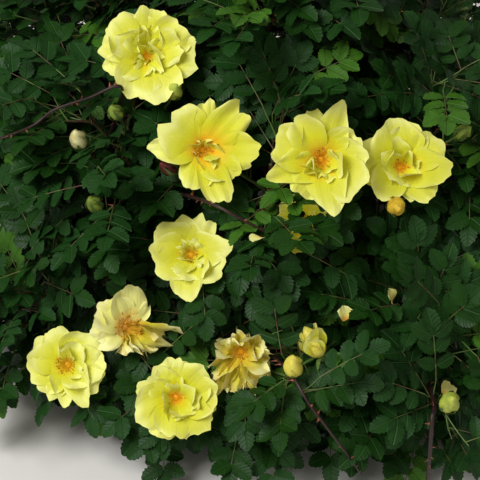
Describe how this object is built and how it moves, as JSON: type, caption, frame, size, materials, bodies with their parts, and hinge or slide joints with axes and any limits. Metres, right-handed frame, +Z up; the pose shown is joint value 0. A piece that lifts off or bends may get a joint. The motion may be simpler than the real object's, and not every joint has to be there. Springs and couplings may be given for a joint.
{
  "type": "rose bush",
  "caption": "Low spreading garden shrub rose in full flower: dark green compound leaves and semi-double lemon yellow blooms on arching canes from one short rootstock, rooted in level ground",
  "frame": {"origin": "middle of the flat cut under the rootstock, at ground level", "axes": "+Z up, -Y the front where most of the blooms are, +X to the right as seen from the front"},
  "size_m": [0.5313, 0.4251, 0.3565],
  "materials": {
    "old_bark": "grey-brown old bark, fissured, matt",
    "cane_bark": "dark reddish brown cane bark with slender prickles, satin",
    "foliage": "dark bluish green leaves with a soft sheen, and lemon yellow petals"
  },
  "bodies": {
    "root": {"rootstock": "old_bark", "cane_low_front": "cane_bark", "foliage_low_front": "foliage", "cane_low_front_right": "cane_bark", "foliage_low_front_right": "foliage", "cane_low_right": "cane_bark", "foliage_low_right": "foliage", "cane_low_back_right": "cane_bark", "foliage_low_back_right": "foliage", "cane_low_back": "cane_bark", "foliage_low_back": "foliage", "cane_low_back_left": "cane_bark", "foliage_low_back_left": "foliage", "cane_low_left": "cane_bark", "foliage_low_left": "foliage", "cane_low_front_left": "cane_bark", "foliage_low_front_left": "foliage", "cane_high_front": "cane_bark", "foliage_high_front": "foliage", "cane_high_front_right": "cane_bark", "foliage_high_front_right": "foliage", "cane_high_back_right": "cane_bark", "foliage_high_back_right": "foliage", "cane_high_back": "cane_bark", "foliage_high_back": "foliage", "cane_high_back_left": "cane_bark", "foliage_high_back_left": "foliage", "cane_high_front_left": "cane_bark", "foliage_high_front_left": "foliage", "cane_top": "cane_bark", "foliage_top": "foliage"}
  },
  "joints": []
}
